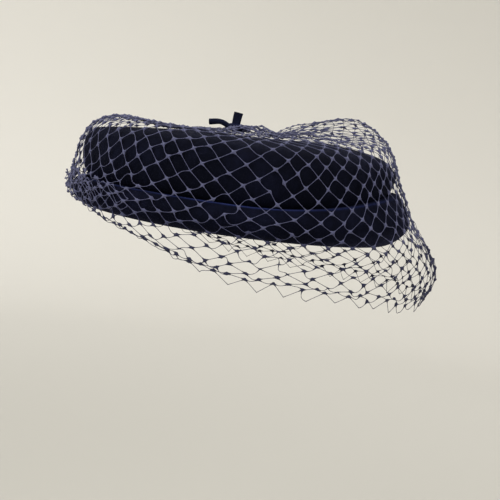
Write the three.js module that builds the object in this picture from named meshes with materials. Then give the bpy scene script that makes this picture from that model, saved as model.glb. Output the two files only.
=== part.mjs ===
// A velvet pillbox hat with two tiers, a net veil over it and a small velvet knot on top.
// The hat's front is +X, the wearer's left is +Y and up is +Z. Lengths are in millimetres.
// The origin is the middle of the head opening, in the plane of the rim.

import * as THREE from 'three';

// Driving dimensions.
const SEAT_HALF_LENGTH = 100; // the oval in the groove between the two tiers
const SEAT_HALF_WIDTH = 92;
const CROWN_WALL = 2.2; // velvet over a stiff foundation
const CUFF_WALL = 2.0;
const VEIL_WALL = 1.0; // the outer form of the net, one thin skin
const FACETS_AROUND = 48;
const CROWN_CENTRE_HEIGHT = 57.4;
const VEIL_CENTRE_HEIGHT = 59.0;
const PIECE_GAP = 0.5;

// The veil's hem: its height above the rim plane at the back, the sides and the front.
const HEM = { back: 9, side: -30, front: -39 };
// The veil stands up in a puff over the front left of the crown.
const PUFF_AZIMUTH = THREE.MathUtils.degToRad(34);
const PUFF_SPREAD = THREE.MathUtils.degToRad(34);

// The ring of gathered net on the crown, and the velvet knot that sits in the middle of it.
const KNOT_PLACE = { x: -7.5, y: 0 };
const GATHER = { hole: 6.2, reachFront: 30, reachBack: 8, reachSide: 17, edge: 0.5, bed: 1.0 };
const GATHER_FLOOR = VEIL_CENTRE_HEIGHT + 1.4; // clears the veil's climb towards the front
const RUFFLE = { front: 3.6, side: 1.6, back: 0.3 };
const GATHER_FOLDS = 9;
const FACETS_PER_FOLD = 4;
const KNOT_HALF = { x: 5.0, y: 4.6, z: 2.0 };
const END_HALF_WIDTH = 3.1; // the cut ends are a flattened section
const END_HALF_THICKNESS = 1.9;
const UPRIGHT_END_RISE = 7.2;

// The tail of the net at the back: its half sizes, and its place at the mouth of the groove.
const BUNCH_HALF = { x: 2.8, y: 11, z: 4.5 };
const BUNCH_PLACE = { x: -112.9, z: 17 };

const VELVET = { color: 0x10131c, roughness: 0.9, metalness: 0 };
const VELVET_CUFF = { color: 0x121626, roughness: 0.85, metalness: 0 };
const VELVET_KNOT = { color: 0x191c30, roughness: 0.85, metalness: 0 };
const NET = { color: 0x2b2f52, roughness: 0.7, metalness: 0 };

// A table of rings: each row gives the height of a ring above the rim plane and how far it
// stands out from the seat oval, at the back, at the side and at the front.
const RING_COLUMNS = ['name', 'upBack', 'upSide', 'upFront', 'outBack', 'outSide', 'outFront'];

const CROWN_RINGS = table(RING_COLUMNS, [
  ['hem', 4.8, 4.8, 4.8, -3.4, -3.4, -4.4],
  ['tuck', 19.2, 17.2, 34.6, -3.4, -3.4, -5.6],
  ['groove', 21.0, 19.0, 36.6, -0.8, -0.8, -2.8],
  ['wallLow', 25.5, 25.5, 40.6, 2.0, 1.6, -0.8],
  ['wallMiddle', 34.5, 36.5, 44.6, 3.6, 3.2, -0.6],
  ['wallTop', 44.2, 44.9, 48.4, 2.4, 1.5, -2.8],
  ['corner', 49.6, 50.2, 52.8, -1.6, -3.4, -8.0],
  ['topEdge', 52.6, 53.4, 56.4, -9.0, -12.5, -18.0],
  ['topMiddle', 55.6, 56.7, 59.6, -42.0, -42.0, -48.0],
  ['topInner', 57.0, 57.2, 58.6, -72.0, -72.0, -72.0],
]);

const CUFF_RINGS = table(RING_COLUMNS, [
  ['lip', 1.2, -0.4, 1.2, -5.2, -5.2, -6.2],
  ['foot', 0.0, -1.8, -0.4, -1.4, -1.0, -1.8],
  ['heel', 3.4, 1.6, 4.8, 4.6, 4.8, 6.6],
  ['belly', 11.2, 9.4, 15.0, 8.2, 8.0, 12.8],
  ['shoulder', 16.4, 14.2, 26.2, 6.6, 6.6, 8.0],
  ['ridge', 18.4, 16.4, 32.8, 3.6, 3.8, 2.2],
  ['tuckEdge', 18.9, 16.8, 34.0, 0.6, 0.6, -1.4],
]);

// The veil's rings above the rim also say how far the puff lifts them and pushes them out.
const VEIL_RINGS = table([...RING_COLUMNS, 'puffUp', 'puffOut'], [
  ['topInner', 58.6, 58.8, 60.2, -72.0, -72.0, -72.0, 0.0, 0.0],
  ['topMiddle', 58.0, 59.4, 62.4, -45.0, -45.0, -48.0, 10.0, 0.0],
  ['topEdge', 58.2, 57.6, 62.6, -17.0, -14.0, -18.0, 16.5, 1.0],
  ['corner', 54.2, 53.4, 58.0, -1.8, -1.0, -6.0, 14.0, 3.0],
  ['wall', 44.0, 44.0, 48.0, 5.4, 4.6, 0.2, 6.5, 3.0],
  ['waist', 33.0, 33.0, 40.0, 7.8, 5.6, 3.4, 2.0, 2.0],
  ['groove', 24.0, 22.5, 31.0, 8.8, 7.0, 8.6, 0.0, 0.6],
  ['belly', 17.0, 12.0, 18.0, 9.4, 10.0, 15.4, 0.0, 0.0],
  ['rim', 12.0, 3.4, 8.0, 10.2, 9.8, 21.0, 0.0, 0.0],
]);

// The rings that hang below the rim: how much of the way to the hem each one has fallen, and
// how far it stands out from the seat oval.
const SKIRT_RINGS = table(['name', 'fallen', 'outBack', 'outSide', 'outFront'], [
  ['flare', 0.25, 10.6, 10.6, 31.0],
  ['bulge', 0.5, 10.4, 11.0, 35.0],
  ['curl', 0.74, 10.2, 9.4, 32.0],
  ['hem', 1.0, 10.0, 6.4, 26.0],
]);

// Makes rows with named columns out of plain lists.
function table(columns, rows) {
  return rows.map((row) => Object.fromEntries(columns.map((column, i) => [column, row[i]])));
}

// Mixes a value given at the back, side and front for any azimuth.
function around(back, side, front, azimuth) {
  const along = Math.cos(azimuth);
  const across = Math.sin(azimuth);
  const end = along > 0 ? front : back;
  return end * along * along + side * across * across;
}

// A point that stands out from the seat oval by the given distance, square to the oval.
function ovalPoint(azimuth, out, up) {
  const cos = Math.cos(azimuth);
  const sin = Math.sin(azimuth);
  const normal = new THREE.Vector2(cos / SEAT_HALF_LENGTH, sin / SEAT_HALF_WIDTH).normalize();
  const x = SEAT_HALF_LENGTH * cos + out * normal.x;
  const y = SEAT_HALF_WIDTH * sin + out * normal.y;
  return new THREE.Vector3(x, y, up);
}

// The section of a tier at one azimuth: points of (out, up).
function tierSection(rings, azimuth) {
  return rings.map((ring) => new THREE.Vector2(
    around(ring.outBack, ring.outSide, ring.outFront, azimuth),
    around(ring.upBack, ring.upSide, ring.upFront, azimuth),
  ));
}

// The hem climbs in a straight line, seen from the side, from the ears to the back.
function hemHeight(azimuth) {
  const along = Math.cos(azimuth);
  const end = along > 0 ? HEM.front : HEM.back;
  return HEM.side + (end - HEM.side) * Math.abs(along);
}

function veilSection(azimuth) {
  const turn = Math.atan2(Math.sin(azimuth - PUFF_AZIMUTH), Math.cos(azimuth - PUFF_AZIMUTH));
  const puff = Math.exp(-((turn / PUFF_SPREAD) ** 2));
  const upper = VEIL_RINGS.map((ring) => new THREE.Vector2(
    around(ring.outBack, ring.outSide, ring.outFront, azimuth) + puff * ring.puffOut,
    around(ring.upBack, ring.upSide, ring.upFront, azimuth) + puff * ring.puffUp,
  ));
  const rimHeight = upper[upper.length - 1].y;
  const skirt = SKIRT_RINGS.map((ring) => new THREE.Vector2(
    around(ring.outBack, ring.outSide, ring.outFront, azimuth),
    THREE.MathUtils.lerp(rimHeight, hemHeight(azimuth), ring.fallen),
  ));
  return [...upper, ...skirt];
}

// Moves each point of a section sideways by the wall's thickness, to the left of its direction.
function offsetSection(section, wall) {
  return section.map((point, i) => {
    const before = section[Math.max(i - 1, 0)];
    const after = section[Math.min(i + 1, section.length - 1)];
    const along = after.clone().sub(before).normalize();
    return new THREE.Vector2(point.x - wall * along.y, point.y + wall * along.x);
  });
}

// Joins rings of equal length into a closed surface. A ring of one point is a pole.
// Without poles the last ring joins the first, so that the section is a loop.
function surfaceOfRings(rings, isLoop) {
  const positions = [];
  const starts = rings.map((ring) => {
    const start = positions.length / 3;
    ring.forEach((point) => positions.push(point.x, point.y, point.z));
    return start;
  });
  const triangles = [];
  const spans = isLoop ? rings.length : rings.length - 1;
  for (let r = 0; r < spans; r += 1) {
    const s = (r + 1) % rings.length;
    const count = Math.max(rings[r].length, rings[s].length);
    for (let i = 0; i < count; i += 1) {
      const j = (i + 1) % count;
      const low = [i, j].map((k) => starts[r] + (rings[r].length === 1 ? 0 : k));
      const high = [i, j].map((k) => starts[s] + (rings[s].length === 1 ? 0 : k));
      if (rings[r].length > 1) triangles.push(low[0], low[1], high[1]);
      if (rings[s].length > 1) triangles.push(low[0], high[1], high[0]);
    }
  }
  const geometry = new THREE.BufferGeometry();
  geometry.setAttribute('position', new THREE.Float32BufferAttribute(positions, 3));
  geometry.setIndex(triangles);
  geometry.computeVertexNormals();
  return geometry;
}

function ringsOfSections(sections) {
  return sections[0].map((unused, row) => sections.map((section, i) => {
    const azimuth = (2 * Math.PI * i) / sections.length;
    return ovalPoint(azimuth, section[row].x, section[row].y);
  }));
}

const AZIMUTHS = Array.from({ length: FACETS_AROUND }, (unused, i) => (2 * Math.PI * i) / FACETS_AROUND);

function pole(height) {
  return [new THREE.Vector3(0, 0, height)];
}

// The upper tier: a domed cup, open below, whose wall runs down inside the cuff.
function crownGeometry() {
  const outside = AZIMUTHS.map((azimuth) => tierSection(CROWN_RINGS, azimuth));
  const inside = outside.map((section) => offsetSection(section, CROWN_WALL));
  return surfaceOfRings([
    pole(CROWN_CENTRE_HEIGHT - CROWN_WALL),
    ...ringsOfSections(inside).reverse(),
    ...ringsOfSections(outside),
    pole(CROWN_CENTRE_HEIGHT),
  ], false);
}

// The lower tier: a rolled band, open towards the crown's wall that it wraps.
function cuffGeometry() {
  const outside = AZIMUTHS.map((azimuth) => tierSection(CUFF_RINGS, azimuth));
  const inside = outside.map((section) => offsetSection(section, CUFF_WALL));
  return surfaceOfRings([...ringsOfSections(outside), ...ringsOfSections(inside).reverse()], true);
}

// The net's outer form: a thin bell from the crown's centre to the hem.
function veilGeometry() {
  const outside = AZIMUTHS.map((azimuth) => veilSection(azimuth));
  const inside = outside.map((section) => offsetSection(section, -VEIL_WALL));
  return surfaceOfRings([
    pole(VEIL_CENTRE_HEIGHT - VEIL_WALL),
    ...ringsOfSections(inside),
    ...ringsOfSections(outside).reverse(),
    pole(VEIL_CENTRE_HEIGHT),
  ], false);
}

// The gather: a low ruffle of folds, flat below, with a hole in the middle for the knot.
function gatherGeometry() {
  const facets = GATHER_FOLDS * FACETS_PER_FOLD;
  const ring = (share, height) => Array.from({ length: facets }, (unused, i) => {
    const azimuth = (2 * Math.PI * i) / facets;
    const fold = Math.cos(GATHER_FOLDS * azimuth);
    const reach = Math.cos(azimuth) > 0 ? GATHER.reachFront : GATHER.reachBack;
    const folded = share * (1 + 0.06 * fold);
    const along = THREE.MathUtils.lerp(GATHER.hole, reach, folded);
    const across = THREE.MathUtils.lerp(GATHER.hole, GATHER.reachSide, folded);
    return new THREE.Vector3(
      KNOT_PLACE.x + along * Math.cos(azimuth),
      KNOT_PLACE.y + across * Math.sin(azimuth),
      GATHER_FLOOR + height(azimuth, share, fold),
    );
  });
  const top = (azimuth, share, fold) => {
    const ruffle = around(RUFFLE.back, RUFFLE.side, RUFFLE.front, azimuth);
    const swell = Math.sin(Math.PI * share) ** 2;
    const bed = THREE.MathUtils.lerp(GATHER.bed, GATHER.edge, share);
    return bed + ruffle * swell * (0.8 + 0.2 * fold);
  };
  const flat = () => 0;
  return surfaceOfRings([
    ring(0, flat),
    ring(1, flat),
    ...[1, 0.8, 0.5, 0.2, 0].map((share) => ring(share, top)),
  ], true);
}

// The gathered tail of the net that stands out at the back of the groove.
function bunchGeometry() {
  const geometry = new THREE.SphereGeometry(1, 16, 8);
  geometry.scale(BUNCH_HALF.x, BUNCH_HALF.y, BUNCH_HALF.z);
  return geometry;
}

function knotGeometry() {
  const geometry = new THREE.SphereGeometry(1, 16, 10);
  geometry.scale(KNOT_HALF.x, KNOT_HALF.y, KNOT_HALF.z);
  return geometry;
}

// A cut velvet end: an oval section of the given half sizes, carried along a short path.
function endGeometry(points, halfSizes) {
  const section = new THREE.Shape();
  section.absellipse(0, 0, ...halfSizes, 0, 2 * Math.PI);
  const path = new THREE.CatmullRomCurve3(points.map((point) => new THREE.Vector3(...point)));
  return new THREE.ExtrudeGeometry(section, { steps: 6, curveSegments: 6, extrudePath: path });
}

function piece(name, geometry, finish) {
  const mesh = new THREE.Mesh(geometry, new THREE.MeshStandardMaterial(finish));
  mesh.name = name;
  return mesh;
}

const hat = new THREE.Group();
hat.add(piece('crown', crownGeometry(), VELVET));
hat.add(piece('cuff', cuffGeometry(), VELVET_CUFF));
hat.add(piece('veil', veilGeometry(), NET));
hat.add(piece('veil_gather', gatherGeometry(), NET));

const bunch = piece('veil_bunch', bunchGeometry(), NET);
bunch.position.set(BUNCH_PLACE.x, 0, BUNCH_PLACE.z);
hat.add(bunch);

const knotCentre = VEIL_CENTRE_HEIGHT + PIECE_GAP + KNOT_HALF.z;
const knot = piece('knot', knotGeometry(), VELVET_KNOT);
knot.position.set(KNOT_PLACE.x, KNOT_PLACE.y, knotCentre);
hat.add(knot);

// The two cut ends: one stands on the knot, the other lies back over the crown.
const uprightFoot = knotCentre + KNOT_HALF.z + PIECE_GAP;
hat.add(piece('knot_end_upright', endGeometry([
  [KNOT_PLACE.x - 0.3, 0, uprightFoot],
  [KNOT_PLACE.x, 0.3, uprightFoot + 0.5 * UPRIGHT_END_RISE],
  [KNOT_PLACE.x + 0.5, 0.4, uprightFoot + UPRIGHT_END_RISE],
], [END_HALF_WIDTH, END_HALF_THICKNESS]), VELVET_KNOT));

const lyingStart = KNOT_PLACE.x - KNOT_HALF.x - PIECE_GAP;
hat.add(piece('knot_end_lying', endGeometry([
  [lyingStart - 0.6, 0, knotCentre + 2.8],
  [lyingStart - 6, 0.6, knotCentre + 3.2],
  [lyingStart - 12, 1.6, knotCentre + 2.2],
], [END_HALF_THICKNESS, END_HALF_WIDTH]), VELVET_KNOT));

export default hat;
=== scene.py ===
# %% [markdown]
# # A velvet pillbox hat under a net veil
# The hat has two tiers: a domed crown, and a rolled cuff round its foot with a groove between.
# A diamond net is gathered on the crown under a small velvet knot, is drawn over the whole hat
# and hangs below the rim over the face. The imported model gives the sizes; here each piece gets
# its real surface. Everything is in metres: +X is the hat's front, +Y the wearer's left, +Z up.

# %% Load the frame
import math

import bpy
import numpy as np
from mathutils import Matrix, Vector


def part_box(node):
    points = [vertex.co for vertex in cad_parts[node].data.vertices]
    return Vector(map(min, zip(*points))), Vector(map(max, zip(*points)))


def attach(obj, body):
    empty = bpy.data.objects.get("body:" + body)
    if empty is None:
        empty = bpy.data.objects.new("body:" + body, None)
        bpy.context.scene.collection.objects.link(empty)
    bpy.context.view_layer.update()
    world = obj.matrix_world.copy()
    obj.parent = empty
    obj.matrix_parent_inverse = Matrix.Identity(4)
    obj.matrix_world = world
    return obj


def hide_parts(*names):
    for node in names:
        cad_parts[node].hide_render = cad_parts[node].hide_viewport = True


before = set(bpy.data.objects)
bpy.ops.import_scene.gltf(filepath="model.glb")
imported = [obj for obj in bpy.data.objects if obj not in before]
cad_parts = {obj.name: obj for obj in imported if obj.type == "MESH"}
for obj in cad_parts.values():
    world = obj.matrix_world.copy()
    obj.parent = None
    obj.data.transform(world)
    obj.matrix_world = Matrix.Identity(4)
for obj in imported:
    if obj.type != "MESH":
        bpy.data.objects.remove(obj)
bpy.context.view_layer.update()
MM = 0.001

# %% [markdown]
# ## The camera
# A camera has a place and two directions: where it looks and which way is up in the picture.
# The hat is worn tipped forward, but it is modelled level, with its rim on the ground plane of
# its own frame. So the camera leans by the same angle instead. It stands about 0.7 m away,
# about level with the crown, and looks slightly down.

# %% Camera
VIEW_AZIMUTH = math.radians(-2.0)
VIEW_ELEVATION = math.radians(5.3)
HAT_TIP = math.radians(7.8)
VIEW_DISTANCE = 0.7
VIEW_TARGET = Vector((12.3 * MM, 0, -16.2 * MM))
LENS = 76.4  # mm, like the sensor's width
SENSOR_WIDTH = 36

forward = Vector((
    -math.sin(VIEW_AZIMUTH) * math.cos(VIEW_ELEVATION),
    math.cos(VIEW_AZIMUTH) * math.cos(VIEW_ELEVATION),
    -math.sin(VIEW_ELEVATION),
))
level_right = Vector((math.cos(VIEW_AZIMUTH), math.sin(VIEW_AZIMUTH), 0))
level_up = level_right.cross(forward)
right = math.cos(HAT_TIP) * level_right + math.sin(HAT_TIP) * level_up
up = math.cos(HAT_TIP) * level_up - math.sin(HAT_TIP) * level_right

camera = bpy.data.objects.new("camera", bpy.data.cameras.new("camera"))
camera.data.lens = LENS
camera.data.sensor_width = SENSOR_WIDTH
camera.matrix_world = Matrix.Translation(VIEW_TARGET - VIEW_DISTANCE * forward) @ Matrix(
    (right, up, -forward)
).transposed().to_4x4()
bpy.context.scene.collection.objects.link(camera)
bpy.context.scene.camera = camera
print("camera at", [round(v, 3) for v in camera.matrix_world.translation])

# %% [markdown]
# ## Meshes from arrays
# A turned or draped surface is easiest to think of as rings: each ring is a closed line of
# points, and neighbouring rings are joined by four-sided faces. A ring of no size is a pole,
# one point with a fan of triangles. All points come from numpy as one array.

# %% Mesh helpers
def make_object(name, points, faces):
    """Puts arrays of points and faces into a new, smoothly shaded object at the origin."""
    mesh = bpy.data.meshes.new(name)
    mesh.from_pydata(points.tolist(), [], faces)
    mesh.shade_smooth()
    mesh.update()
    made = bpy.data.objects.new(name, mesh)
    bpy.context.scene.collection.objects.link(made)
    return made


def ring_faces(rings, around, first=0, closed_loop=False):
    """Four-sided faces between neighbouring rings, each of `around` points, as an array."""
    spans = rings if closed_loop else rings - 1
    r, a = np.meshgrid(np.arange(spans), np.arange(around), indexing="ij")
    r_next = (r + 1) % rings
    a_next = (a + 1) % around
    corners = [
        r * around + a,
        r * around + a_next,
        r_next * around + a_next,
        r_next * around + a,
    ]
    return first + np.stack(corners, -1).reshape(-1, 4)


def paint(piece, name, values):
    """Stores one number for each point of a piece, for its material to read."""
    layer = piece.data.attributes.new(name, "FLOAT", "POINT")
    layer.data.foreach_set("value", np.asarray(values, np.float32))


def shell_object(name, rings, start_pole=None, end_pole=None, closed_loop=False):
    """A surface from an array of rings (ring, point, xyz), with a point at each end that has a
    pole, or with the last ring joined to the first."""
    count, around = rings.shape[:2]
    points = rings.reshape(-1, 3)
    faces = ring_faces(count, around, closed_loop=closed_loop).tolist()
    a = np.arange(around)
    a_next = (a + 1) % around
    if start_pole is not None:
        points = np.vstack([points, start_pole])
        fan = np.stack([np.full(around, len(points) - 1), a_next, a], -1)
        faces += fan.tolist()
    if end_pole is not None:
        points = np.vstack([points, end_pole])
        last = (count - 1) * around
        fan = np.stack([np.full(around, len(points) - 1), last + a, last + a_next], -1)
        faces += fan.tolist()
    return make_object(name, points, faces)


print("3 rings of 4 points make", len(ring_faces(3, 4)), "faces")

# %% [markdown]
# ## A smooth curve through given rows
# A section or a path is given by a few rows of numbers, and the surface needs many. Between two
# rows a cubic curve fits both their values and their slopes, so the curve has no corners.

# %% A curve through rows
def through(knots, values, where):
    """A smooth curve through the rows of `values` at `knots`: between two rows the height and the
    slope both match (a cubic Hermite), and a row's slope is the weighted mean of its two sides.
    `values` is (row, point) and `where` gives each point's own place along the knots."""
    knots = np.asarray(knots, float)
    step = np.diff(knots)
    slope = np.diff(values, axis=0) / step[:, None]
    before, after = step[:-1, None], step[1:, None]
    inner = (slope[:-1] * after + slope[1:] * before) / (after + before)
    tangent = np.vstack([slope[:1], inner, slope[-1:]])
    k = np.clip(np.searchsorted(knots, where, side="right") - 1, 0, len(step) - 1)
    p = np.arange(values.shape[1])
    h = step[k]
    s = (where - knots[k]) / h
    low, high = values[k, p], values[k + 1, p]
    rise, fall = tangent[k, p] * h, tangent[k + 1, p] * h
    return (
        (2 * s**3 - 3 * s**2 + 1) * low
        + (s**3 - 2 * s**2 + s) * rise
        + (3 * s**2 - 2 * s**3) * high
        + (s**3 - s**2) * fall
    )


halfway = through([0, 1, 2], np.array([[0.0], [1.0], [0.0]]), np.array([0.5]))
print("halfway up a bump the curve is at", halfway[0])

# %% [markdown]
# ## The hat's oval
# A hat is built on an oval block, longer than it is wide. Every ring here is given by how far it
# stands out from one oval, the seat in the groove between the tiers, and by its height above the
# rim. Three numbers a ring are enough, at the back, the side and the front, and the squares of
# cosine and sine, which add up to one, mix them smoothly all the way round.

# %% The seat oval
SEAT_HALF_LENGTH = 100 * MM
SEAT_HALF_WIDTH = 92 * MM


def around_mix(azimuth, back, side, front):
    """back or front times cosine squared, plus side times sine squared; rows stay rows."""
    along = np.cos(azimuth)
    every = np.ones_like(along)
    end = np.where(along > 0, np.multiply.outer(front, every), np.multiply.outer(back, every))
    return end * along**2 + np.multiply.outer(side, np.sin(azimuth) ** 2)


def oval_points(azimuth, out, height):
    """The oval's point at that angle, moved along the oval's own normal by `out`."""
    cos, sin = np.cos(azimuth), np.sin(azimuth)
    nx, ny = cos / SEAT_HALF_LENGTH, sin / SEAT_HALF_WIDTH
    size = np.hypot(nx, ny)
    x = SEAT_HALF_LENGTH * cos + out * nx / size
    y = SEAT_HALF_WIDTH * sin + out * ny / size
    return np.stack([x, y, height], -1)


def ring_knots(out, height):
    """Knots for a smooth section: the square root of each span's mean length, added up."""
    span = np.hypot(np.diff(out, axis=0), np.diff(height, axis=0)).mean(1)
    return np.concatenate([[0], np.cumsum(np.sqrt(span))])


print("seat oval in mm:", 2 * SEAT_HALF_LENGTH / MM, "by", 2 * SEAT_HALF_WIDTH / MM)

# %% [markdown]
# ## The two tiers' sections
# Each row is one ring of the outside, from low to high, in millimetres: its height at the back,
# side and front, then how far it stands out there. The cuff has a sharp fold at its top, where
# the velvet turns in over the edge of its band, so two rows lie close together there.

# %% Tables of rings
RING_NAMES = ("up_back", "up_side", "up_front", "out_back", "out_side", "out_front")


def ring_table(*rows):
    """Rows of millimetres as named columns in metres."""
    columns = np.array(rows, float).T * MM
    return dict(zip(RING_NAMES, columns))


CROWN = ring_table(
    (4.8, 4.8, 4.8, -3.4, -3.4, -4.4),  # hem, inside the cuff
    (18.2, 16.4, 32.6, -3.4, -3.4, -4.2),  # below the groove
    (20.2, 18.6, 34.8, -1.6, -1.6, -2.6),  # in the groove
    (25.5, 25.5, 40.6, 2.0, 1.6, -0.8),
    (34.5, 36.5, 44.6, 3.6, 3.2, -0.6),
    (44.2, 44.9, 48.4, 2.4, 1.5, -2.8),
    (49.0, 50.2, 52.8, -1.6, -3.4, -8.0),  # the rounded corner
    (51.2, 53.4, 56.2, -9.0, -12.5, -18.0),
    (54.6, 56.7, 59.6, -42.0, -42.0, -48.0),
    (57.0, 57.2, 58.6, -72.0, -72.0, -72.0),
)
CROWN_CENTRE = 57.4 * MM
CROWN_WALL = 2.2 * MM

CUFF = ring_table(
    (2.2, -0.2, 1.4, -5.2, -5.2, -6.2),  # lip, turned in under the rim
    (1.2, -1.6, -0.2, -1.6, -1.2, -2.0),
    (4.4, 1.6, 4.8, 4.6, 4.8, 6.6),
    (11.2, 9.4, 15.0, 8.2, 8.0, 12.8),  # the fullest part of the roll
    (16.0, 14.2, 26.2, 6.9, 7.0, 8.2),
    (18.0, 16.3, 32.2, 4.8, 5.6, 3.4),
    (18.6, 17.0, 33.4, 3.6, 4.6, 1.8),  # the sharp fold
    (18.7, 16.9, 33.8, 0.6, 0.8, -1.4),  # its flat top, running in to the crown
)
CUFF_WALL = 2.0 * MM
FOLD_SHARE = 0.86  # where the sharp fold lies along the cuff's section
FOLD_WIDTH = 0.045
CROWN_LEVELS, CUFF_LEVELS = 96, 72  # rings up each face of a tier
FACETS = 288  # points round each ring
CROWN_WAVE = 0.16 * MM
CUFF_WAVE = 0.22 * MM


def tier_section(table, azimuth, share, fullness):
    """Smooth (out, height) of a tier at each azimuth and each share of the way up its section. A
    slow wave, three sines added, of under half a millimetre keeps the cloth from looking turned
    on a lathe."""
    out = around_mix(azimuth, table["out_back"], table["out_side"], table["out_front"])
    height = around_mix(azimuth, table["up_back"], table["up_side"], table["up_front"])
    knots = ring_knots(out, height)
    where = share * knots[-1]
    slow = np.sin(3 * azimuth + 1.1)
    slow += 0.7 * np.sin(5 * azimuth + 9 * share)
    slow += 0.5 * np.sin(11 * azimuth - 6 * share)
    pinned = np.sin(np.pi * np.clip(share, 0, 1))
    return through(knots, out, where) + fullness * slow * pinned, through(knots, height, where)


def offset_inward(out, height, wall):
    """Moves each section point square to its section, towards the inside of the hat."""
    d_out, d_height = np.gradient(out, axis=0), np.gradient(height, axis=0)
    size = np.hypot(d_out, d_height)
    return out - wall * d_height / size, height + wall * d_out / size


def tier_rings(table, wall, levels, fullness):
    """The outside and inside rings of a tier, as arrays (ring, point, xyz)."""
    azimuth = np.linspace(0, 2 * np.pi, FACETS, endpoint=False)
    share, turn = np.meshgrid(np.linspace(0, 1, levels), azimuth, indexing="ij")
    out, height = tier_section(table, turn.ravel(), share.ravel(), fullness)
    out, height = out.reshape(share.shape), height.reshape(share.shape)
    inner_out, inner_height = offset_inward(out, height, wall)
    return oval_points(turn, out, height), oval_points(turn, inner_out, inner_height)


print("rings in the tables:", len(CROWN["up_side"]), "and", len(CUFF["up_side"]))

# %% [markdown]
# ## Crown and cuff
# The crown is a cup with one wall: its inner face, the edge at its foot and its outer face make
# one closed surface. The cuff's section is a hook that is open towards the crown, so its rings
# close on themselves like a tyre. Both could be a Screw modifier on a profile, but a hat isn't
# round, so the rings are worked out directly. Along the cuff's sharp fold a painted highlight
# stands for the light that the pile catches there, and the cuff carries its strength as one
# number for each point.

# %% Build the crown and the cuff
crown_outside, crown_inside = tier_rings(CROWN, CROWN_WALL, CROWN_LEVELS, CROWN_WAVE)
crown = shell_object(
    "crown_velvet",
    np.concatenate([crown_inside[::-1], crown_outside]),
    start_pole=[0, 0, CROWN_CENTRE - CROWN_WALL],
    end_pole=[0, 0, CROWN_CENTRE],
)
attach(crown, "root")
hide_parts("crown")


def fold_highlight_strength():
    """How strong the cuff's painted highlight is at each of its points, standing for the light
    that the pile catches on the sharp fold: a bell curve across the fold, times the sine to the
    fourth round the hat, so most at its sides. The inside has none."""
    share = np.linspace(0, 1, CUFF_LEVELS)
    azimuth = np.linspace(0, 2 * np.pi, FACETS, endpoint=False)
    fold = np.exp(-(((share - FOLD_SHARE) / FOLD_WIDTH) ** 2))
    # How strong the painted fold highlight is round the hat: most at its sides.
    highlight_round = 0.2 + 0.75 * np.sin(azimuth) ** 4 + 0.12 * np.sin(azimuth * 7)
    outside = np.multiply.outer(fold, highlight_round)
    return np.concatenate([outside, np.zeros_like(outside)]).ravel()


cuff_outside, cuff_inside = tier_rings(CUFF, CUFF_WALL, CUFF_LEVELS, CUFF_WAVE)
cuff = shell_object(
    "cuff_velvet", np.concatenate([cuff_outside, cuff_inside[::-1]]), closed_loop=True
)
# The cuff carries the strength of its painted fold highlight at every point.
paint(cuff, "painted_highlight", fold_highlight_strength())
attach(cuff, "root")
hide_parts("cuff")
print("crown faces", len(crown.data.polygons), "cuff faces", len(cuff.data.polygons))

# %% [markdown]
# ## The form that the net takes
# The veil has rings too, from the hem up to the crown's centre. Two more columns lift the net
# off the crown in a soft puff over the front left, and the last three say how many rows of mesh
# lie between the hem and that ring. Few rows over a long way means an open mesh; many rows over
# a short way means slack, crumpled net, as at the back, where the veil's two ends meet.

# %% The veil's rings
VEIL_NAMES = (*RING_NAMES, "puff_up", "puff_out", "row_back", "row_side", "row_front")
VEIL_RINGS = (
    (9.0, -30.0, -39.0, 9.2, 5.9, 25.5, 0.0, 0.0, 0.0, 0.0, 0.0),  # hem
    (9.6, -23.6, -30.4, 9.4, 7.9, 29.0, 0.0, 0.0, 0.6, 1.0, 1.0),  # the plain zigzag's tops
    (9.8, -21.2, -26.8, 9.4, 8.9, 31.5, 0.0, 0.0, 1.0, 3.0, 2.7),  # the row bunched above it
    (10.5, -13.0, -15.5, 9.5, 10.5, 34.5, 0.0, 0.0, 1.6, 5.1, 4.5),  # the bulge
    (11.2, -4.5, -3.8, 9.6, 10.1, 30.5, 0.0, 0.0, 2.2, 7.4, 6.5),
    (12.0, 4.0, 8.0, 9.7, 9.3, 21.5, 0.0, 0.0, 2.8, 9.5, 8.4),  # past the rim
    (17.0, 12.0, 18.0, 8.9, 9.5, 14.3, 0.0, 0.0, 5.0, 11.2, 10.4),
    (24.0, 22.5, 31.0, 8.3, 6.5, 8.1, 0.0, 0.3, 9.4, 13.0, 12.6),  # across the groove
    (33.0, 33.0, 40.0, 7.3, 5.1, 2.9, 2.0, 0.5, 11.2, 14.7, 14.2),
    (44.0, 44.0, 48.0, 4.9, 4.1, -0.3, 6.5, 0.2, 13.0, 16.4, 15.8),
    (54.6, 52.5, 57.6, -2.4, -1.5, -6.3, 15.8, -0.5, 15.0, 18.3, 17.8),  # over the corner
    (60.0, 55.7, 62.1, -17.0, -14.0, -18.0, 19.0, 0.0, 17.2, 20.2, 19.7),
    (56.4, 58.0, 61.9, -45.0, -45.0, -48.0, 10.5, 0.0, 21.4, 23.6, 23.2),
    (58.1, 58.3, 59.7, -72.0, -72.0, -72.0, 0.0, 0.0, 25.4, 26.4, 26.4),
    (58.8, 58.8, 58.8, -90.0, -84.0, -90.0, 0.0, 0.0, 28.0, 28.0, 28.0),  # under the knot
)
IN_MM = np.array([MM] * 8 + [1, 1, 1])  # the last three columns count rows
VEIL = dict(zip(VEIL_NAMES, (np.array(VEIL_RINGS) * IN_MM).T))
HEM_RINGS = 6  # how many of the rings follow the hem's own line
ROW_DRIFT = 2.0  # times cosine times sine squared: rows sink ahead of the side, rise behind it
DRIFT_STARTS, DRIFT_FULL = 2.7, 8.4  # the rows over which that grows
DRIFT_WANES, DRIFT_STOPS = 22.0, 26.4  # the rows over which it dies away
PUFF_AZIMUTH = math.radians(34)
PUFF_SPREAD = math.radians(34)


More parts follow.
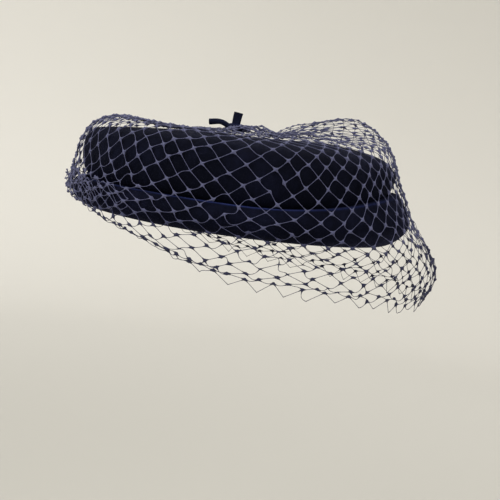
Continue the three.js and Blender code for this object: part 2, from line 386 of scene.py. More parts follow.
def veil_rings_at(azimuth):
    """(out, height, row) of every ring at each azimuth. Towards the hem the height's mix fades to
    the plain cosine, so that the hem climbs in a straight line, seen from the side. The puff is
    a bell curve round the hat, and the rows drift as the constants above say."""
    out, height, row = (
        around_mix(azimuth, VEIL[f"{part}_back"], VEIL[f"{part}_side"], VEIL[f"{part}_front"])
        for part in ("out", "up", "row")
    )
    along = np.cos(azimuth)
    back, side, front = (
        VEIL[f"up_{place}"][:HEM_RINGS, None] for place in ("back", "side", "front")
    )
    end = np.where(along > 0, front, back)
    straight = side + (end - side) * np.abs(along)
    share = np.linspace(1, 0, HEM_RINGS)[:, None]
    height[:HEM_RINGS] = share * straight + (1 - share) * height[:HEM_RINGS]
    turn = np.angle(np.exp(1j * (azimuth - PUFF_AZIMUTH)))
    puff = np.exp(-((turn / PUFF_SPREAD) ** 2))
    out = out + np.multiply.outer(VEIL["puff_out"], puff)
    height = height + np.multiply.outer(VEIL["puff_up"], puff)
    level = VEIL["row_front"]
    free = np.clip((level - DRIFT_STARTS) / (DRIFT_FULL - DRIFT_STARTS), 0, 1)
    free *= np.clip((DRIFT_STOPS - level) / (DRIFT_STOPS - DRIFT_WANES), 0, 1)
    row = row + ROW_DRIFT * np.multiply.outer(free, along * np.sin(azimuth) ** 2)
    return out, height, row


def veil_place(azimuth, row):
    """Where the net's row number `row` (0 at the hem) passes at each azimuth: the row's place
    among the rings is found first, and the smooth section through the rings is read there."""
    out, height, row_at = veil_rings_at(azimuth)
    knots = ring_knots(out, height)
    p = np.arange(len(azimuth))
    k = np.clip((row_at <= row).sum(0) - 1, 0, len(knots) - 2)
    share = (row - row_at[k, p]) / (row_at[k + 1, p] - row_at[k, p])
    where = knots[k] + np.clip(share, 0, 1) * (knots[k + 1] - knots[k])
    return through(knots, out, where), through(knots, height, where)


print("veil rings:", len(VEIL_RINGS))

# %% [markdown]
# ## Net from strands
# Netting is a lattice: each knot is tied to two knots in the row above and two in the row below.
# Each side of a mesh is one short strand, a thin tube that swells towards its ends, so that four
# swellings meeting at a knot make the small star that the real net has. Where two knots are
# closer than a strand is long, the strand is slack and bows, by the amount that keeps its length.
# Many strands are one array, so a whole piece of net is made at once.

# %% Strands
STRAND_LENGTH = 9.7 * MM
THREAD_RADIUS = 0.162 * MM
STAR_RADIUS = 0.84 * MM  # added to the thread's radius at a knot
STAR_REACH = 1.25 * MM  # how far along the strand the swelling goes
LARGEST_BOW = 0.14  # as a share of the span
STRAND_STEPS = 8
THREAD_SIDES = 5
VEIL_CENTRE = (0, 0, 10 * MM)


def strand_paths(start, end, outward, bend, droop):
    """Bowed lines from start to end. For a shallow bow the extra length is 8/3 of its height
    squared over the span, so the height is the root of 3/8 of span times slack. `bend` says how
    much of the bow goes sideways and `droop` how much of it hangs. Very slack thread curls up
    near its knots instead, so the bow is never more than a set share of the span. A full sine
    along the strand adds a little sway, so that not every bow is a plain arch."""
    span = np.linalg.norm(end - start, axis=1)
    slack = np.clip(STRAND_LENGTH - span, 0, None)
    bow = np.minimum(np.sqrt(0.375 * span * slack), LARGEST_BOW * span)
    along = (end - start) / np.maximum(span, 1e-6)[:, None]
    side = np.cross(outward, along)
    direction = side * bend[:, None] + outward * 0.25 * np.abs(bend[:, None])
    direction[:, 2] -= droop
    s = np.linspace(0, 1, STRAND_STEPS + 1)
    arch = (4 * s * (1 - s))[None, :, None]
    ripple = np.sin(2 * np.pi * s)[None, :, None]
    line = start[:, None] + (end - start)[:, None] * s[None, :, None]
    sway = side * (0.35 * bend * np.roll(bend, 7))[:, None]
    bowed = (direction * bow[:, None])[:, None] * arch
    swayed = (sway * bow[:, None])[:, None] * ripple
    return line + bowed + swayed


print("side of a mesh in mm:", round(STRAND_LENGTH / MM, 2))

# %% [markdown]
# ## Tubes round the strands
# A tube is a small ring of points at each step of its path, joined like all the other rings,
# with a point at each end to close it. Its radius is the thread's own plus the swelling of the
# stars at its two ends.

# %% Tubes
def tubes(paths, radii, outward):
    """Closed tubes along many paths at once: a small polygon square to each path at every step,
    and a point at each end. Returns points and faces."""
    strands, steps = paths.shape[:2]
    along = np.gradient(paths, axis=1)
    along /= np.maximum(np.linalg.norm(along, axis=2, keepdims=True), 1e-9)
    side = np.cross(along, outward[:, None])
    side /= np.maximum(np.linalg.norm(side, axis=2, keepdims=True), 1e-9)
    lift = np.cross(side, along)
    turn = (2 * np.pi * np.arange(THREAD_SIDES) / THREAD_SIDES)[:, None]
    polygon = np.cos(turn) * side[:, :, None] + np.sin(turn) * lift[:, :, None]
    rings = paths[:, :, None] + polygon * radii[:, :, None, None]
    tips = np.stack([
        paths[:, 0] - along[:, 0] * radii[:, :1],
        paths[:, -1] + along[:, -1] * radii[:, -1:],
    ], 1)
    block = steps * THREAD_SIDES + 2
    points = np.concatenate([rings.reshape(strands, -1, 3), tips], 1).reshape(-1, 3)
    quads = ring_faces(steps, THREAD_SIDES)[:, ::-1]
    a = np.arange(THREAD_SIDES)
    a_next = (a + 1) % THREAD_SIDES
    last = (steps - 1) * THREAD_SIDES
    first_fan = np.stack([np.full(THREAD_SIDES, block - 2), a, a_next], -1)
    last_fan = np.stack([np.full(THREAD_SIDES, block - 1), last + a_next, last + a], -1)
    shift = (np.arange(strands) * block)[:, None, None]
    faces = (quads[None] + shift).reshape(-1, 4).tolist()
    faces += (first_fan[None] + shift).reshape(-1, 3).tolist()
    faces += (last_fan[None] + shift).reshape(-1, 3).tolist()
    return points, faces


def strand_radii(paths, star_start, star_end):
    """The thread's radius plus a swelling that dies away from each end as a bell curve."""
    step = np.linalg.norm(np.diff(paths, axis=1), axis=2)
    run = np.concatenate([np.zeros((len(paths), 1)), np.cumsum(step, 1)], 1)
    rest = run[:, -1:] - run
    at_start = star_start[:, None] * np.exp(-((run / STAR_REACH) ** 2))
    at_end = star_end[:, None] * np.exp(-((rest / STAR_REACH) ** 2))
    return THREAD_RADIUS + np.maximum(at_start, at_end)


def outward_from(points, centre):
    """The direction away from a centre inside the hat."""
    away = points - np.asarray(centre)
    return away / np.linalg.norm(away, axis=1, keepdims=True)


def net_object(name, start, end, star_start, star_end, bend, droop, centre=VEIL_CENTRE):
    """One piece of net from its strands' ends, stars and bows, riding on the hat."""
    outward = outward_from((start + end) / 2, centre)
    paths = strand_paths(start, end, outward, bend, droop)
    points, faces = tubes(paths, strand_radii(paths, star_start, star_end), outward)
    made = make_object(name, points, faces)
    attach(made, "root")
    triangles = len(start) * 2 * THREAD_SIDES * (STRAND_STEPS + 1)
    print(name, len(start), "strands,", triangles, "triangles")
    return made


print("a strand has", STRAND_STEPS + 1, "rings of", THREAD_SIDES, "points")

# %% [markdown]
# ## The lattice of knots
# Row by row, knots sit half a mesh to the side of those below. On the body of the hat each knot
# then moves a little: the columns fan out over the ears, the rows wave, and every knot has its
# own small error, larger where the net is slack. Near the knot of velvet the net stands up in
# pleats, because all its width is drawn into a few centimetres.

# %% Knots of the veil
COLUMNS = 52
ROWS = 28
PLEATS = 13
SLACK_ROWS = (8, 13)  # slack net at the first row, taut at the second
GATHERED_ROWS = (20, 26)  # the net is drawn together from the first row to the second
HEM_UNEVEN = 0.35  # how far up the hem's knots may sit, in rows
PLEAT_HEIGHT = 4.6 * MM
rng = np.random.default_rng(7)


def lattice(columns, rows):
    """Column place (in meshes) and row number of every knot, as arrays (row, column)."""
    row, column = np.meshgrid(np.arange(rows), np.arange(columns), indexing="ij")
    return column + 0.5 * (row % 2), row.astype(float)


def smoothstep(low, high, value):
    """0 below `low`, 1 above `high`, and three squares less two cubes of the share between."""
    share = np.clip((value - low) / (high - low), 0, 1)
    return share * share * (3 - 2 * share)


def veil_knots():
    """Positions (row, column, xyz) of the veil's knots. The fan is a sine of twice the azimuth,
    and the waves are sines of several times the azimuth that change from row to row."""
    column, row = lattice(COLUMNS, ROWS)
    slack = 1 - smoothstep(*SLACK_ROWS, row)
    gathered = smoothstep(*GATHERED_ROWS, row)
    even = 2 * np.pi * column / COLUMNS
    azimuth = even - (0.115 - 0.1 * smoothstep(9, 26, row)) * np.sin(2 * even)
    azimuth += 0.012 * np.sin(5 * azimuth + 0.5 * row) + 0.010 * np.sin(9 * azimuth - 0.8 * row + 2)
    azimuth += rng.normal(0, 1, row.shape) * (0.005 + 0.004 * slack) * (1 - gathered)
    moved = row + 0.22 * np.sin(4 * azimuth + 0.3 * row) + 0.18 * np.sin(9 * azimuth + 1.7)
    moved += rng.normal(0, 1, row.shape) * (0.06 + 0.06 * slack)
    moved = np.where(row < 1, HEM_UNEVEN * rng.random(row.shape), moved)
    moved = np.clip(moved, 0, ROWS)
    out, height = veil_place(azimuth.ravel(), moved.ravel())
    out, height = out.reshape(row.shape), height.reshape(row.shape)
    back = smoothstep(0.55, 0.95, -np.cos(azimuth)) * (1 - smoothstep(9, 14, row))
    out += np.abs(rng.normal(0, 1, row.shape)) * (0.4 * slack + 0.7 * back) * MM
    height += rng.normal(0, 1, row.shape) * 1.2 * back * MM
    pleat = 0.5 + 0.5 * np.sin(PLEATS * azimuth + 2.2 * np.sin(2 * azimuth))
    front = 0.6 + 0.4 * np.cos(azimuth)
    swell = smoothstep(21.5, 25, row) * (1 - 0.75 * smoothstep(26, 28, row))
    height += PLEAT_HEIGHT * swell * pleat * front
    return oval_points(azimuth, out, height)


veil_points = veil_knots()
print("veil knots:", veil_points.shape[0] * veil_points.shape[1])

# %% [markdown]
# ## The veil itself
# Each knot is joined to the next row's knots on its left and right. The hem is a plain zigzag
# with hardly any stars, some crossings have small stars, and a few strands are missing, as in a
# net that has been worn. The net is one piece of cloth, made as two halves to keep each light.

# %% Build the veil
BROKEN_SHARE = 0.006  # of the strands
PLAIN_SHARE = 0.1  # of the crossings
PLAIN_STAR = 0.3  # their stars' size, as a share of the others'
HEM_STAR = 0.06 * MM


def lattice_strands(knots, wraps):
    """Start and end index (row, column) of each strand, going up a row to the right and left."""
    rows, columns = knots.shape[:2]
    row, column = np.meshgrid(np.arange(rows - 1), np.arange(columns), indexing="ij")
    shifted = column + row % 2
    pairs = [(row, column, row + 1, shifted), (row, column, row + 1, shifted - 1)]
    joined = np.concatenate([np.stack([p.ravel() for p in pair], -1) for pair in pairs])
    if wraps:
        joined[:, 3] %= columns
        return joined
    return joined[(joined[:, 3] >= 0) & (joined[:, 3] < columns)]


star = STAR_RADIUS * (0.8 + 0.4 * rng.random(veil_points.shape[:2]))
star[rng.random(veil_points.shape[:2]) < PLAIN_SHARE] *= PLAIN_STAR
star *= 1 - 0.35 * smoothstep(18, 24, np.arange(ROWS))[:, None]  # smaller on the crown's top
star[0] = HEM_STAR
strands = lattice_strands(veil_points, wraps=True)
keep = (rng.random(len(strands)) > BROKEN_SHARE) | (strands[:, 0] < 2)
strands = strands[keep]
slackness = 1 - smoothstep(9, 13, strands[:, 0])  # 1 below the groove, 0 well above it
bend = rng.normal(0, 1, len(strands)) * (0.45 + 0.35 * slackness)
droop = 0.5 * slackness
start = veil_points[strands[:, 0], strands[:, 1]]
end = veil_points[strands[:, 2], strands[:, 3]]
star_start = star[strands[:, 0], strands[:, 1]]
star_end = star[strands[:, 2], strands[:, 3]]

veil_halves = []
for name, half in (("veil_net_right", start[:, 1] < 0), ("veil_net_left", start[:, 1] >= 0)):
    piece = net_object(
        name, start[half], end[half], star_start[half], star_end[half], bend[half], droop[half]
    )
    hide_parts("veil")
    veil_halves.append(piece)

# %% [markdown]
# ## The gathered net on the crown and at the back
# On the crown the net's edge is drawn up into a ruffle of folds round the velvet knot. At the
# back the veil's two ends are drawn together into a crumpled tuft in the groove, and to both
# sides of it the net lies folded double over the cuff. Each is a small lattice of its own, laid
# over the veil.

# %% Build the gathers
GATHER_CENTRE_X = -7.5 * MM
BAND_REACH = math.radians(56)  # how far round the hat the folded band goes to each side
BAND_HALF_HEIGHT = 7.8 * MM
BAND_DRAWN = 4.8 * MM  # how much less its half height is at the tuft
BAND_SINKS = 7.5 * MM  # from the tuft to its ends
BAND_OUT = 8.6 * MM
TUFT_OUT = 5.0 * MM
RUFFLE_HEIGHT = 2.6 * MM
RUFFLE_RISES = 1.6 * MM  # more than that in front, less behind
EXTRA_BEND = 0.44
gather_low, gather_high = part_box("veil_gather")
bunch_low, bunch_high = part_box("veil_bunch")


def gather_knots(columns=24, rows=6):
    """Rings of knots round the velvet knot: the height swells and pleats between rim and middle,
    more towards the front, where most of the gathered net lies."""
    column, row = lattice(columns, rows)
    azimuth = 2 * np.pi * column / columns
    share = 1 - row / (rows - 1) * 0.8
    ahead, behind = gather_high.x - GATHER_CENTRE_X, GATHER_CENTRE_X - gather_low.x
    reach_x = np.where(np.cos(azimuth) > 0, ahead, behind)
    fold = np.sin(9 * azimuth + 1.5 * np.sin(3 * azimuth))
    radius = share * (0.96 + 0.07 * fold) + rng.normal(0, 0.025, row.shape)
    x = GATHER_CENTRE_X + radius * reach_x * np.cos(azimuth)
    y = radius * gather_high.y * np.sin(azimuth)
    tall = RUFFLE_HEIGHT + RUFFLE_RISES * np.cos(azimuth)
    swell = np.sin(np.pi * np.clip(share, 0, 1)) ** 1.3
    z = gather_low.z + tall * swell * (0.75 + 0.45 * fold)
    z += rng.normal(0, 0.4 * MM, row.shape)
    return np.stack([x, y, z], -1)


def bunch_knots(columns=23, rows=5):
    """A band of net across the back of the cuff, where the veil is folded double. It is narrow
    in the middle, where a bell curve draws it together into a tuft that stands out, and it sinks
    and narrows a little towards its ends."""
    column, row = lattice(columns, rows)
    across = column / columns * 2 - 1
    azimuth = np.pi + across * BAND_REACH
    share = row / (rows - 1)
    drawn = np.exp(-((across / 0.2) ** 2))
    middle = 0.5 * (bunch_low.z + bunch_high.z) - BAND_SINKS * np.abs(across)
    half = (BAND_HALF_HEIGHT - BAND_DRAWN * drawn) * (1 - 0.2 * across**2)
    height = middle + (share - 0.5) * 2 * half + 1.3 * MM * np.sin(14 * across + 4 * share)
    height += rng.normal(0, 0.9 * MM, row.shape)
    out = BAND_OUT + TUFT_OUT * drawn * (0.6 + 0.4 * np.sin(11 * share + 20 * across))
    out += np.abs(rng.normal(0, 0.4 * MM, row.shape))
    return oval_points(azimuth, out, height)


def extra_net(name, knots, wraps, star, droop, centre):
    """A small net of its own, slack and bowed. `star` is the least size of its stars, as a share
    of the veil's."""
    strands = lattice_strands(knots, wraps)
    start = knots[strands[:, 0], strands[:, 1]]
    end = knots[strands[:, 2], strands[:, 3]]
    stars = STAR_RADIUS * (star + 0.35 * rng.random(knots.shape[:2]))
    star_start = stars[strands[:, 0], strands[:, 1]]
    star_end = stars[strands[:, 2], strands[:, 3]]
    bend = rng.normal(0, EXTRA_BEND, len(strands))
    hang = np.full(len(strands), droop)
    return net_object(name, start, end, star_start, star_end, bend, hang, centre)


gather = extra_net(
    "veil_gather_net", gather_knots(), wraps=True, star=0.45, droop=-0.15,
    centre=(GATHER_CENTRE_X, 0, 30 * MM),
)
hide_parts("veil_gather")
bunch = extra_net(
    "veil_bunch_net", bunch_knots(), wraps=False, star=0.2, droop=0.1,
    centre=(-80 * MM, 0, 15 * MM),
)
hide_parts("veil_bunch")

# %% [markdown]
# ## The velvet knot
# A strip of velvet is folded to a soft tube and tied. It leaves a small crossed lump and two cut
# ends, one standing and one lying. Each end is a flattened oval carried along a short path that
# widens towards the cut, and the cut itself is a flat face with a hollow in the middle, where
# the fold of the strip shows.

# %% Shape of a cut end
TUBE_STEPS = 41
TUBE_FACETS = 48


def signed_volume(piece):
    """Six times the volume, from the faces' corners; it is negative if the faces point inwards."""
    mesh = piece.data
    mesh.calc_loop_triangles()
    points = np.empty(len(mesh.vertices) * 3)
    mesh.vertices.foreach_get("co", points)
    corners = np.empty(len(mesh.loop_triangles) * 3, np.int32)
    mesh.loop_triangles.foreach_get("vertices", corners)
    a, b, c = points.reshape(-1, 3)[corners.reshape(-1, 3)].transpose(1, 0, 2)
    return float(np.einsum("ij,ij->", a, np.cross(b, c)))


def bent_tube(name, path, half_width, half_thick, cut_hollow, facing):
    """An oval section carried along a smooth path. Both half sizes are one value per path point,
    and the section has a shallow groove along one side, the open edge of the folded strip."""
    path = np.asarray(path) * MM
    knots_at = np.arange(len(path), dtype=float)
    fine = np.linspace(0, len(path) - 1, TUBE_STEPS)
    line = np.stack([
        through(knots_at, np.repeat(axis[:, None], TUBE_STEPS, 1), fine) for axis in path.T
    ], -1)
    wide = np.interp(fine, knots_at, half_width) * MM
    thick = np.interp(fine, knots_at, half_thick) * MM
    along = np.gradient(line, axis=0)
    along /= np.linalg.norm(along, axis=1, keepdims=True)
    side = np.cross(along, np.asarray(facing, float))
    side /= np.linalg.norm(side, axis=1, keepdims=True)
    lift = np.cross(side, along)
    turn = np.linspace(0, 2 * np.pi, TUBE_FACETS, endpoint=False)
    groove = 1 - 0.2 * np.exp(-(((turn - 0.5 * np.pi) / 0.35) ** 2))
    across = np.sign(np.cos(turn)) * np.abs(np.cos(turn)) ** 0.8
    rings = (
        line[:, None]
        + side[:, None] * (wide[:, None] * across * groove)[..., None]
        + lift[:, None] * (thick[:, None] * np.sin(turn) * groove)[..., None]
    )
    rings += 0.12 * MM * np.sin(5 * turn + 3 * fine[:, None])[..., None] * lift[:, None]
    rim = rings[-1]
    sunk = along[-1] * cut_hollow * MM
    lips = [rim + (line[-1] - rim - sunk) * share for share in (0.12, 0.5)]
    rings = np.concatenate([rings, np.stack(lips)])
    made = shell_object(
        name, rings, start_pole=line[0] - along[0] * 0.4 * MM, end_pole=line[-1] - sunk * 1.1
    )
    if signed_volume(made) < 0:
        made.data.flip_normals()
    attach(made, "root")
    return made


print("each end has", TUBE_STEPS, "rings of", TUBE_FACETS, "points")

# %% [markdown]
# ## The lump and its ends in place
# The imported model's boxes say where the lump and the two ends are, so each is worked out from
# its own box. The lump is a ball, squashed to its box, with two creases.

# %% Build the knot
LUMP_LEVELS = 40
LUMP_FACETS = 64
LUMP_POLE = 0.06  # the angle from a pole to the nearest ring, in radians
KNOT_SWELL = (1.0 * MM, 0.8 * MM, 1.2 * MM)  # soft pile fills the model's gaps round the knot


def knot_lump():
    """A squashed ball with two creases where one turn of the strip passes over the other."""
    low, high = (np.array(corner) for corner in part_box("knot"))
    high = high + np.array(KNOT_SWELL)
    low = low - np.array(KNOT_SWELL) * (1, 1, 0)
    centre, half = (low + high) / 2, (high - low) / 2
    polar, turn = np.meshgrid(
        np.linspace(LUMP_POLE, np.pi - LUMP_POLE, LUMP_LEVELS),
        np.linspace(0, 2 * np.pi, LUMP_FACETS, endpoint=False),
        indexing="ij",
    )
    x, y, z = np.sin(polar) * np.cos(turn), np.sin(polar) * np.sin(turn), np.cos(polar)
    crease = np.exp(-(((x - 0.5 * y - 0.35) / 0.14) ** 2))
    crease += np.exp(-(((x + 0.7 * y + 0.4) / 0.14) ** 2))
    size = 1.1 - 0.17 * crease + 0.04 * np.sin(4 * turn + 2 * polar)
    rings = centre + half * np.stack([x, y, z], -1) * size[..., None]
    pole = np.array([0, 0, half[2] * 1.08])
    made = shell_object("knot_velvet", rings, start_pole=centre + pole, end_pole=centre - pole)
    if signed_volume(made) < 0:
        made.data.flip_normals()
    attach(made, "root")
    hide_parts("knot")
    return made


knot = knot_lump()
upright_low, upright_high = (np.array(corner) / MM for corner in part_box("knot_end_upright"))
upright_middle = (upright_low + upright_high) / 2
upright = bent_tube(
    "knot_end_upright_velvet",
    [
        (upright_middle[0] - 0.6, 0.0, upright_low[2] - 1.4),
        (upright_middle[0] - 0.2, 0.2, upright_middle[2]),
        (upright_middle[0] + 0.3, 0.3, upright_high[2] + 0.2),
    ],
    half_width=(2.7, 2.85, 3.0), half_thick=(1.9, 2.0, 2.1), cut_hollow=0.5, facing=(0, 1, 0),
)
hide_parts("knot_end_upright")

lying_low, lying_high = (np.array(corner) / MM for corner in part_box("knot_end_lying"))
lying_middle = (lying_low + lying_high) / 2
lying = bent_tube(
    "knot_end_lying_velvet",
    [
        (lying_high[0] + 1.6, 0.0, lying_low[2] + 0.4),
        (lying_middle[0] + 1.5, 0.5, lying_high[2] - 2.0),
        (lying_low[0] + 0.3, 1.5, lying_middle[2] - 0.4),
    ],
    half_width=(2.2, 2.5, 3.0), half_thick=(1.7, 1.8, 2.0), cut_hollow=0.6, facing=(0, 0, 1),
)
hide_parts("knot_end_lying")
print("knot pieces:", knot.name, upright.name, lying.name)

# %% [markdown]
# ## Shader arithmetic
# A material is a graph of nodes. Writing it as arithmetic keeps it readable: this class holds
# one output of a node, and adding or multiplying it adds a Math node. Every other kind of node
# comes from the one method `node`.

# %% The Wire class
class Wire:
    """One output socket of a shader node, with arithmetic."""

    def __init__(self, tree, socket):
        self.tree = tree
        self.socket = socket

    def node(self, kind, settings=(), inputs=(), output=0):
        """Adds a node: its settings are set first, then its sockets' values or links."""
        made = self.tree.nodes.new(kind)
        for key, value in dict(settings).items():
            setattr(made, key, value)
        for key, value in dict(inputs).items():
            if isinstance(value, Wire):
                self.tree.links.new(value.socket, made.inputs[key])
            else:
                made.inputs[key].default_value = value
        return Wire(self.tree, made.outputs[output])

    def _math(self, operation, first, second):
        return self.node("ShaderNodeMath", {"operation": operation}, {0: first, 1: second})

    def __add__(self, other):
        return self._math("ADD", self, other)

    def __mul__(self, other):
        return self._math("MULTIPLY", self, other)

    def __sub__(self, other):
        return self._math("SUBTRACT", self, other)

    def noise(self, scale, detail=2.0, roughness=0.5):
        """Cloudy noise from 0 to 1 on this vector; scale is in blots to the metre."""
        return self.node("ShaderNodeTexNoise", {}, {
            "Vector": self, "Scale": scale, "Detail": detail, "Roughness": roughness,
        })

    def between(self, low, high, to_low=0.0, to_high=1.0):
        """Maps low..high to another range along a smooth step, and stops at its ends."""
        return self.node("ShaderNodeMapRange", {"interpolation_type": "SMOOTHSTEP"}, {
            "Value": self, "From Min": low, "From Max": high, "To Min": to_low, "To Max": to_high,
        })

    def mix_colours(self, first, second):
        """This value as the share of the second colour."""
        return self.node("ShaderNodeMix", {"data_type": "RGBA"}, {0: self, 6: first, 7: second}, 2)


def new_finish(name, **constants):
    """A material with a Principled shader; constants go straight onto its sockets. Returns the
    material, its shader node and the Object coordinates."""
    material = bpy.data.materials.new(name)
    material.use_nodes = True
    shader = material.node_tree.nodes["Principled BSDF"]
    for key, value in constants.items():
        shader.inputs[key.replace("_", " ")].default_value = value
    place = material.node_tree.nodes.new("ShaderNodeTexCoord")
    return material, shader, Wire(material.node_tree, place.outputs["Object"])


def connect(wire, shader, socket):
    """Links a wire to a shader's socket."""
    wire.tree.links.new(wire.socket, shader.inputs[socket])


print("wires can be added, subtracted and multiplied")

# %% [markdown]
# ## Velvet
# Velvet is a pile of short upright threads. Seen from above it swallows light, and seen from the
# side the tips of the pile catch it, so the cloth is nearly black in the middle of a form and
# brighter and bluer towards its edges and folds. The shader's sheen does that, and along the
# cuff's sharp fold a painted highlight in the colour adds to it. The pile also leans one way or
# another where it was stroked, which shows as soft clouds, and its surface is a very fine grain.

# %% Velvet finishes
NAVY_DEEP = (0.0016, 0.0020, 0.0050, 1)
NAVY_STROKED = (0.0030, 0.0038, 0.0120, 1)
CUFF_DEEP = (0.0018, 0.0022, 0.0060, 1)
CUFF_STROKED = (0.0030, 0.0038, 0.0125, 1)
KNOT_DEEP = (0.0040, 0.0050, 0.0130, 1)
KNOT_STROKED = (0.0080, 0.0100, 0.0280, 1)
SHEEN_BLUE = (0.10, 0.14, 0.62, 1)
# The colour of the painted highlight along the cuff's fold, where the pile catches light.
HIGHLIGHT_BLUE = (0.014, 0.021, 0.085, 1)
CLOUD_SCALE, STREAK_SCALE, TUFT_SCALE, GRAIN_SCALE = 38, 260, 900, 2600  # blots to the metre
STREAK_STRETCH = (1, 1, 0.22)  # streaks are long up and down, along the pile's lie


def velvet(name, deep, stroked, sheen, painted_highlight=False):
    """Velvet with clouds of leaning pile, streaks down the pile's lie and a fine grain, and on the
    cuff a painted highlight along its fold, read from the strength that the cuff carries.
    """
    material, shader, place = new_finish(
        name, Sheen_Weight=sheen, Sheen_Roughness=0.38, Sheen_Tint=SHEEN_BLUE,
        Specular_IOR_Level=0.05,
    )
    clouds = place.noise(CLOUD_SCALE, 3, 0.55)
    drawn_out = place.node(
        "ShaderNodeMapping", {"vector_type": "POINT"}, {0: place, 3: STREAK_STRETCH}
    )
    streaks = drawn_out.noise(STREAK_SCALE, 2, 0.6)
    lean = (clouds * 0.65 + streaks * 0.35).between(0.40, 0.68)
    grain = place.noise(GRAIN_SCALE, 2, 0.7)
    tone = (lean * 0.8 + grain * 0.2).mix_colours(deep, stroked)
    # Painted highlight: the cuff's fold is mixed towards a lighter blue, for light caught by its
    # pile.
    if painted_highlight:
        highlight_share = place.node("ShaderNodeAttribute", {"attribute_name": "painted_highlight"}, {}, 2)
        tone = (highlight_share * (grain * 0.5 + 0.75)).mix_colours(tone, HIGHLIGHT_BLUE)
    connect(tone, shader, "Base Color")
    connect(lean * -0.14 + 0.96, shader, "Roughness")
    pile = grain * 0.8 + place.noise(TUFT_SCALE, 2, 0.6) * 0.5 + streaks * 0.3
    bump = place.node("ShaderNodeBump", {}, {"Strength": 0.45, "Distance": 0.0004, "Height": pile})
    connect(bump, shader, "Normal")
    return material


velvet_crown = velvet("velvet", NAVY_DEEP, NAVY_STROKED, sheen=0.035)
velvet_cuff = velvet("velvet_cuff", CUFF_DEEP, CUFF_STROKED, sheen=0.055, painted_highlight=True)
velvet_knot = velvet("velvet_knot", KNOT_DEEP, KNOT_STROKED, sheen=0.12)
for piece, finish in (
    (crown, velvet_crown), (cuff, velvet_cuff),
    (knot, velvet_knot), (upright, velvet_knot), (lying, velvet_knot),
):
    piece.data.materials.append(finish)
print("velvet finishes:", velvet_crown.name, velvet_cuff.name, velvet_knot.name)

# %% [markdown]
# ## Net thread
# The net is a navy thread. Its colour carries painted light, a dusty violet grey, where it lies
# over the hat and meets the light, and painted shade, dark, where it hangs below the rim. Height
# alone tells the two apart, with a little noise so that the change has no edge.

# %% Net finish
# Painted light and painted shade: the thread is lighter where it lies over the hat in the light,
# darker below the rim.
THREAD_LIT = (0.072, 0.076, 0.145, 1)
THREAD_SHADED = (0.014, 0.016, 0.045, 1)
THREAD_FLECK = (0.02, 0.022, 0.05, 1)
THREAD_SHEEN = (0.6, 0.62, 0.85, 1)


def net_thread(name):
    """Thread with painted shade below the rim and painted light above it, with fine flecks and a
    fine twist.
    """
    material, shader, place = new_finish(
        name, Sheen_Weight=0.1, Sheen_Roughness=0.5, Sheen_Tint=THREAD_SHEEN,
        Specular_IOR_Level=0.25,
    )
    height = place.node("ShaderNodeSeparateXYZ", {}, {0: place}, 2)
    # The share of painted light, by height: lit above the rim, painted shade below it.
    lit_share = (height + place.noise(60, 2) * 0.012 - 0.006).between(-0.004, 0.012)
    fleck = place.noise(700, 2, 0.6).between(0.35, 0.7)
    tone = lit_share.mix_colours(THREAD_SHADED, THREAD_LIT)
    dull = (fleck * 0.35).mix_colours(tone, THREAD_FLECK)
    connect(dull, shader, "Base Color")
    connect(fleck * 0.2 + 0.62, shader, "Roughness")
    twist = place.noise(3200, 1, 0.5)
    bump = place.node("ShaderNodeBump", {}, {"Strength": 0.4, "Distance": 0.0002, "Height": twist})
    connect(bump, shader, "Normal")
    return material


net_finish = net_thread("net_thread")
for piece in (*veil_halves, gather, bunch):
    piece.data.materials.append(net_finish)
print("net finish on", len(veil_halves) + 2, "pieces")

# %% [markdown]
# ## Stage and light
# The hat is shown as if a head held it, so it floats over the floor. The floor is a shallow bowl
# whose sides climb behind the camera and behind the hat, so that no horizon shows from any side.
# Its paper has painted shade: it is darker close under the hat and out beyond its front. Three
# large soft lights and a pale sky leave no hard shadow.

# %% Stage
FLOOR_HEIGHT = -0.34
FLAT_RADIUS = 1.5
BOWL_HEIGHT = 2.4
FLAT_RINGS = 24
CLIMBING_RINGS = 39
BOWL_FACETS = 96
# Painted shade on the paper: darker close under the hat and out beyond its front.
PAPER_SHADED_NEAR = (0.43, 0.42, 0.385, 1)
PAPER_FAR = (0.83, 0.815, 0.775, 1)
PAPER_SHADED_AHEAD = (0.60, 0.585, 0.545, 1)
SKY = (0.80, 0.785, 0.745, 1)
SKY_STRENGTH = 0.85


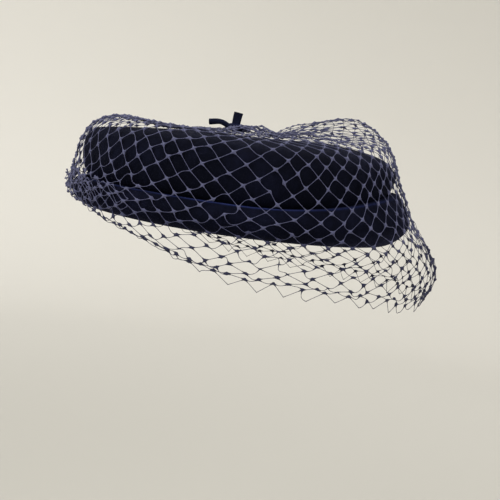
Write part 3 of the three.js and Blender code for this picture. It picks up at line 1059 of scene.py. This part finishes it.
def bowl():
    """A flat disc whose edge climbs as a quarter of an ellipse, turned about the vertical axis."""
    flat = np.linspace(0.02, FLAT_RADIUS, FLAT_RINGS)
    climb = np.linspace(0, np.pi / 2, CLIMBING_RINGS + 1)[1:]
    radius = np.concatenate([flat, FLAT_RADIUS + FLAT_RADIUS * np.sin(climb)])
    rise = np.concatenate([np.zeros(FLAT_RINGS), BOWL_HEIGHT * (1 - np.cos(climb))])
    radius, turn = np.meshgrid(
        radius, np.linspace(0, 2 * np.pi, BOWL_FACETS, endpoint=False), indexing="ij"
    )
    height = np.repeat(FLOOR_HEIGHT + rise[:, None], BOWL_FACETS, 1)
    rings = np.stack([radius * np.cos(turn), radius * np.sin(turn), height], -1)
    return shell_object("floor", rings, start_pole=[0, 0, FLOOR_HEIGHT])


floor = bowl()
paper, paper_shader, paper_place = new_finish(
    "backdrop_paper", Roughness=0.9, Specular_IOR_Level=0.1
)
ahead = paper_place.node("ShaderNodeSeparateXYZ", {}, {0: paper_place})
distance = paper_place.node("ShaderNodeVectorMath", {"operation": "LENGTH"}, {0: paper_place}, 1)
# Painted shade: the paper darkens close under the hat and towards the hat's front.
paper_shaded = distance.between(0.45, 2.3).mix_colours(PAPER_SHADED_NEAR, PAPER_FAR)
paper_shaded = (ahead.between(-1.0, 1.3) * 0.55).mix_colours(paper_shaded, PAPER_SHADED_AHEAD)
connect(paper_shaded, paper_shader, "Base Color")
floor.data.materials.append(paper)


def soft_light(name, place, size, power, colour):
    """A square area light that points at the hat."""
    lamp = bpy.data.objects.new(name, bpy.data.lights.new(name, "AREA"))
    lamp.data.size = size
    lamp.data.energy = power
    lamp.data.color = colour
    lamp.location = place
    lamp.rotation_euler = (-Vector(place)).to_track_quat("-Z", "Y").to_euler()
    bpy.context.scene.collection.objects.link(lamp)


soft_light("window", (-1.1, -1.2, 1.15), size=1.3, power=30, colour=(1.0, 0.985, 0.96))
soft_light("overhead", (0.1, 0.5, 1.5), size=1.6, power=14, colour=(1.0, 0.99, 0.97))
soft_light("fill", (1.2, -0.9, 0.5), size=1.2, power=8, colour=(0.97, 0.98, 1.0))

world = bpy.data.worlds.new("pale_sky")
world.use_nodes = True
sky = world.node_tree.nodes["Background"]
sky.inputs["Color"].default_value = SKY
sky.inputs["Strength"].default_value = SKY_STRENGTH
bpy.context.scene.world = world
bpy.context.scene.view_settings.view_transform = "Standard"
print("floor at", FLOOR_HEIGHT)
